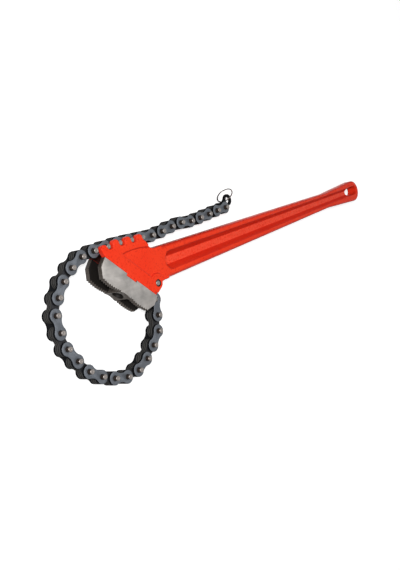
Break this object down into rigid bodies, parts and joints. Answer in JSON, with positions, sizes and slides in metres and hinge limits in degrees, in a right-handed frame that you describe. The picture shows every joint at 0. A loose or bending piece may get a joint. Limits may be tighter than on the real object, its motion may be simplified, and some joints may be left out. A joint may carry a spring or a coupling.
{
  "type": "chain pipe wrench",
  "caption": "Chain pipe wrench with a red forged handle, a toothed jaw and a leaf chain laid round into the hooks of the head.",
  "frame": {"origin": "centre of the hanging slot, on the mid-plane of the handle", "axes": "+X along the handle from the head to its free end, +Y towards the hooks and the tail of the chain, +Z along the chain pins, out of the face seen in the picture"},
  "size_m": [0.5283, 0.1362, 0.0216],
  "materials": {
    "red_enamel": "glossy orange-red enamel on a forging",
    "forged_steel": "ground side faces, dark forged edges",
    "black_steel": "black oxide",
    "bright_steel": "turned, bright ends",
    "grey_plate_steel": "blued grey plate",
    "dark_leaf_steel": "oiled dark leaf",
    "bright_wire": "bright wire"
  },
  "bodies": {
    "handle_body": {"handle": "red_enamel", "jaw": "forged_steel", "jaw_screw": "black_steel", "lock_washer": "black_steel", "anchor_pin": "bright_steel"},
    "inner_link_01": {"inner_leaves_01": "dark_leaf_steel"},
    "outer_link_01": {"outer_plates_01": "grey_plate_steel", "link_pins_01": "bright_steel"},
    "inner_link_02": {"inner_leaves_02": "dark_leaf_steel"},
    "outer_link_02": {"outer_plates_02": "grey_plate_steel", "link_pins_02": "bright_steel"},
    "inner_link_03": {"inner_leaves_03": "dark_leaf_steel"},
    "outer_link_03": {"outer_plates_03": "grey_plate_steel", "link_pins_03": "bright_steel"},
    "inner_link_04": {"inner_leaves_04": "dark_leaf_steel"},
    "outer_link_04": {"outer_plates_04": "grey_plate_steel", "link_pins_04": "bright_steel"},
    "inner_link_05": {"inner_leaves_05": "dark_leaf_steel"},
    "outer_link_05": {"outer_plates_05": "grey_plate_steel", "link_pins_05": "bright_steel"},
    "inner_link_06": {"inner_leaves_06": "dark_leaf_steel"},
    "outer_link_06": {"outer_plates_06": "grey_plate_steel", "link_pins_06": "bright_steel"},
    "inner_link_07": {"inner_leaves_07": "dark_leaf_steel"},
    "outer_link_07": {"outer_plates_07": "grey_plate_steel", "link_pins_07": "bright_steel"},
    "inner_link_08": {"inner_leaves_08": "dark_leaf_steel"},
    "outer_link_08": {"outer_plates_08": "grey_plate_steel", "link_pins_08": "bright_steel"},
    "inner_link_09": {"inner_leaves_09": "dark_leaf_steel"},
    "outer_link_09": {"outer_plates_09": "grey_plate_steel", "link_pins_09": "bright_steel"},
    "inner_link_10": {"inner_leaves_10": "dark_leaf_steel"},
    "outer_link_10": {"outer_plates_10": "grey_plate_steel", "link_pins_10": "bright_steel"},
    "inner_link_11": {"inner_leaves_11": "dark_leaf_steel"},
    "outer_link_11": {"outer_plates_11": "grey_plate_steel", "link_pins_11": "bright_steel"},
    "inner_link_12": {"inner_leaves_12": "dark_leaf_steel"},
    "outer_link_12": {"outer_plates_12": "grey_plate_steel", "link_pins_12": "bright_steel"},
    "inner_link_13": {"inner_leaves_13": "dark_leaf_steel"},
    "outer_link_13": {"outer_plates_13": "grey_plate_steel", "link_pins_13": "bright_steel"},
    "inner_link_14": {"inner_leaves_14": "dark_leaf_steel"},
    "outer_link_14": {"outer_plates_14": "grey_plate_steel", "link_pins_14": "bright_steel"},
    "inner_link_15": {"inner_leaves_15": "dark_leaf_steel"},
    "outer_link_15": {"outer_plates_15": "grey_plate_steel", "link_pins_15": "bright_steel"},
    "inner_link_16": {"inner_leaves_16": "dark_leaf_steel"},
    "outer_link_16": {"outer_plates_16": "grey_plate_steel", "link_pins_16": "bright_steel"},
    "end_link_body": {"end_link": "dark_leaf_steel"},
    "ring_body": {"split_ring": "bright_wire"}
  },
  "joints": [
    {"name": "chain_pivot_00", "type": "hinge", "parent": "handle_body", "child": "inner_link_01", "pos_m": [-0.39, -0.0155, 0], "axis": [0, 0, 1], "range_deg": [-6, 0]},
    {"name": "chain_pivot_01", "type": "hinge", "parent": "inner_link_01", "child": "outer_link_01", "pos_m": [-0.39297, -0.02948, 0], "axis": [0, 0, 1], "range_deg": [-9, 0.5]},
    {"name": "chain_pivot_02", "type": "hinge", "parent": "outer_link_01", "child": "inner_link_02", "pos_m": [-0.39594, -0.04346, 0], "axis": [0, 0, 1], "range_deg": [-9, 0.5]},
    {"name": "chain_pivot_03", "type": "hinge", "parent": "inner_link_02", "child": "outer_link_02", "pos_m": [-0.40036, -0.05705, 0], "axis": [0, 0, 1], "range_deg": [-9, 0.5]},
    {"name": "chain_pivot_04", "type": "hinge", "parent": "outer_link_02", "child": "inner_link_03", "pos_m": [-0.41064, -0.06697, 0], "axis": [0, 0, 1], "range_deg": [-9, 0.5]},
    {"name": "chain_pivot_05", "type": "hinge", "parent": "inner_link_03", "child": "outer_link_03", "pos_m": [-0.4222, -0.07537, 0], "axis": [0, 0, 1], "range_deg": [-9, 0.5]},
    {"name": "chain_pivot_06", "type": "hinge", "parent": "outer_link_03", "child": "inner_link_04", "pos_m": [-0.43525, -0.08118, 0], "axis": [0, 0, 1], "range_deg": [-9, 0.5]},
    {"name": "chain_pivot_07", "type": "hinge", "parent": "inner_link_04", "child": "outer_link_04", "pos_m": [-0.44952, -0.08193, 0], "axis": [0, 0, 1], "range_deg": [-0.5, 7.91]},
    {"name": "chain_pivot_08", "type": "hinge", "parent": "outer_link_04", "child": "inner_link_05", "pos_m": [-0.46326, -0.07799, 0], "axis": [0, 0, 1], "range_deg": [-0.5, 7.91]},
    {"name": "chain_pivot_09", "type": "hinge", "parent": "inner_link_05", "child": "outer_link_05", "pos_m": [-0.4761, -0.07173, 0], "axis": [0, 0, 1], "range_deg": [-0.5, 7.91]},
    {"name": "chain_pivot_10", "type": "hinge", "parent": "outer_link_05", "child": "inner_link_06", "pos_m": [-0.48736, -0.06293, 0], "axis": [0, 0, 1], "range_deg": [-0.5, 7.91]},
    {"name": "chain_pivot_11", "type": "hinge", "parent": "inner_link_06", "child": "outer_link_06", "pos_m": [-0.49535, -0.05108, 0], "axis": [0, 0, 1], "range_deg": [-0.5, 7.91]},
    {"name": "chain_pivot_12", "type": "hinge", "parent": "outer_link_06", "child": "inner_link_07", "pos_m": [-0.50206, -0.03847, 0], "axis": [0, 0, 1], "range_deg": [-0.5, 7.91]},
    {"name": "chain_pivot_13", "type": "hinge", "parent": "inner_link_07", "child": "outer_link_07", "pos_m": [-0.5043, -0.02435, 0], "axis": [0, 0, 1], "range_deg": [-0.5, 7.91]},
    {"name": "chain_pivot_14", "type": "hinge", "parent": "outer_link_07", "child": "inner_link_08", "pos_m": [-0.50405, -0.01006, 0], "axis": [0, 0, 1], "range_deg": [-0.5, 7.91]},
    {"name": "chain_pivot_15", "type": "hinge", "parent": "inner_link_08", "child": "outer_link_08", "pos_m": [-0.49734, 0.00255, 0], "axis": [0, 0, 1], "range_deg": [-0.5, 7.91]},
    {"name": "chain_pivot_16", "type": "hinge", "parent": "outer_link_08", "child": "inner_link_09", "pos_m": [-0.48797, 0.01334, 0], "axis": [0, 0, 1], "range_deg": [-0.5, 7.91]},
    {"name": "chain_pivot_17", "type": "hinge", "parent": "inner_link_09", "child": "outer_link_09", "pos_m": [-0.47641, 0.02174, 0], "axis": [0, 0, 1], "range_deg": [-0.5, 7.91]},
    {"name": "chain_pivot_18", "type": "hinge", "parent": "outer_link_09", "child": "inner_link_10", "pos_m": [-0.46345, 0.02778, 0], "axis": [0, 0, 1], "range_deg": [-9.01, 0.5]},
    {"name": "chain_pivot_19", "type": "hinge", "parent": "inner_link_10", "child": "outer_link_10", "pos_m": [-0.44924, 0.02927, 0], "axis": [0, 0, 1], "range_deg": [-9.01, 0.5]},
    {"name": "chain_pivot_20", "type": "hinge", "parent": "outer_link_10", "child": "inner_link_11", "pos_m": [-0.43495, 0.02927, 0], "axis": [0, 0, 1], "range_deg": [0, 18]},
    {"name": "chain_pivot_21", "type": "hinge", "parent": "inner_link_11", "child": "outer_link_11", "pos_m": [-0.42066, 0.02927, 0], "axis": [0, 0, 1], "range_deg": [-0.5, 18.5]},
    {"name": "chain_pivot_22", "type": "hinge", "parent": "outer_link_11", "child": "inner_link_12", "pos_m": [-0.40639, 0.02852, 0], "axis": [0, 0, 1], "range_deg": [-0.5, 18.5]},
    {"name": "chain_pivot_23", "type": "hinge", "parent": "inner_link_12", "child": "outer_link_12", "pos_m": [-0.39214, 0.02753, 0], "axis": [0, 0, 1], "range_deg": [-0.5, 18.5]},
    {"name": "chain_pivot_24", "type": "hinge", "parent": "outer_link_12", "child": "inner_link_13", "pos_m": [-0.37788, 0.02653, 0], "axis": [0, 0, 1], "range_deg": [-0.5, 18.5]},
    {"name": "chain_pivot_25", "type": "hinge", "parent": "inner_link_13", "child": "outer_link_13", "pos_m": [-0.3636, 0.02703, 0], "axis": [0, 0, 1], "range_deg": [-0.5, 18.5]},
    {"name": "chain_pivot_26", "type": "hinge", "parent": "outer_link_13", "child": "inner_link_14", "pos_m": [-0.34939, 0.02852, 0], "axis": [0, 0, 1], "range_deg": [-0.5, 18.5]},
    {"name": "chain_pivot_27", "type": "hinge", "parent": "inner_link_14", "child": "outer_link_14", "pos_m": [-0.33512, 0.02927, 0], "axis": [0, 0, 1], "range_deg": [-0.5, 18.5]},
    {"name": "chain_pivot_28", "type": "hinge", "parent": "outer_link_14", "child": "inner_link_15", "pos_m": [-0.32091, 0.02777, 0], "axis": [0, 0, 1], "range_deg": [-0.5, 18.5]},
    {"name": "chain_pivot_29", "type": "hinge", "parent": "inner_link_15", "child": "outer_link_15", "pos_m": [-0.30662, 0.02802, 0], "axis": [0, 0, 1], "range_deg": [-0.5, 18.5]},
    {"name": "chain_pivot_30", "type": "hinge", "parent": "outer_link_15", "child": "inner_link_16", "pos_m": [-0.29235, 0.02877, 0], "axis": [0, 0, 1], "range_deg": [-0.5, 18.5]},
    {"name": "chain_pivot_31", "type": "hinge", "parent": "inner_link_16", "child": "outer_link_16", "pos_m": [-0.27808, 0.02952, 0], "axis": [0, 0, 1], "range_deg": [-0.5, 18.5]},
    {"name": "end_link_pivot", "type": "hinge", "parent": "outer_link_16", "child": "end_link_body", "pos_m": [-0.2638, 0.03002, 0], "axis": [0, 0, 1], "range_deg": [-30, 35]},
    {"name": "ring_swing", "type": "hinge", "parent": "end_link_body", "child": "ring_body", "pos_m": [-0.25132, 0.03637, 0], "axis": [0.6679, 0.3399, 0.6622], "range_deg": [-45, 8]}
  ],
  "couplings": [
    {"joint": "chain_pivot_01", "follows": "chain_pivot_00", "ratio": 1},
    {"joint": "chain_pivot_02", "follows": "chain_pivot_00", "ratio": 1},
    {"joint": "chain_pivot_03", "follows": "chain_pivot_00", "ratio": 1},
    {"joint": "chain_pivot_04", "follows": "chain_pivot_00", "ratio": 1},
    {"joint": "chain_pivot_05", "follows": "chain_pivot_00", "ratio": 1},
    {"joint": "chain_pivot_06", "follows": "chain_pivot_00", "ratio": 1},
    {"joint": "chain_pivot_07", "follows": "chain_pivot_00", "ratio": -0.8186},
    {"joint": "chain_pivot_08", "follows": "chain_pivot_00", "ratio": -0.8186},
    {"joint": "chain_pivot_09", "follows": "chain_pivot_00", "ratio": -0.8186},
    {"joint": "chain_pivot_10", "follows": "chain_pivot_00", "ratio": -0.8186},
    {"joint": "chain_pivot_11", "follows": "chain_pivot_00", "ratio": -0.8186},
    {"joint": "chain_pivot_12", "follows": "chain_pivot_00", "ratio": -0.8186},
    {"joint": "chain_pivot_13", "follows": "chain_pivot_00", "ratio": -0.8186},
    {"joint": "chain_pivot_14", "follows": "chain_pivot_00", "ratio": -0.8186},
    {"joint": "chain_pivot_15", "follows": "chain_pivot_00", "ratio": -0.8186},
    {"joint": "chain_pivot_16", "follows": "chain_pivot_00", "ratio": -0.8186},
    {"joint": "chain_pivot_17", "follows": "chain_pivot_00", "ratio": -0.8186},
    {"joint": "chain_pivot_18", "follows": "chain_pivot_00", "ratio": 1.0023},
    {"joint": "chain_pivot_19", "follows": "chain_pivot_00", "ratio": 1.0023},
    {"joint": "chain_pivot_21", "follows": "chain_pivot_20", "ratio": 1},
    {"joint": "chain_pivot_22", "follows": "chain_pivot_20", "ratio": 1},
    {"joint": "chain_pivot_23", "follows": "chain_pivot_20", "ratio": 1},
    {"joint": "chain_pivot_24", "follows": "chain_pivot_20", "ratio": 1},
    {"joint": "chain_pivot_25", "follows": "chain_pivot_20", "ratio": 1},
    {"joint": "chain_pivot_26", "follows": "chain_pivot_20", "ratio": 1},
    {"joint": "chain_pivot_27", "follows": "chain_pivot_20", "ratio": 1},
    {"joint": "chain_pivot_28", "follows": "chain_pivot_20", "ratio": 1},
    {"joint": "chain_pivot_29", "follows": "chain_pivot_20", "ratio": 1},
    {"joint": "chain_pivot_30", "follows": "chain_pivot_20", "ratio": 1},
    {"joint": "chain_pivot_31", "follows": "chain_pivot_20", "ratio": 1}
  ]
}
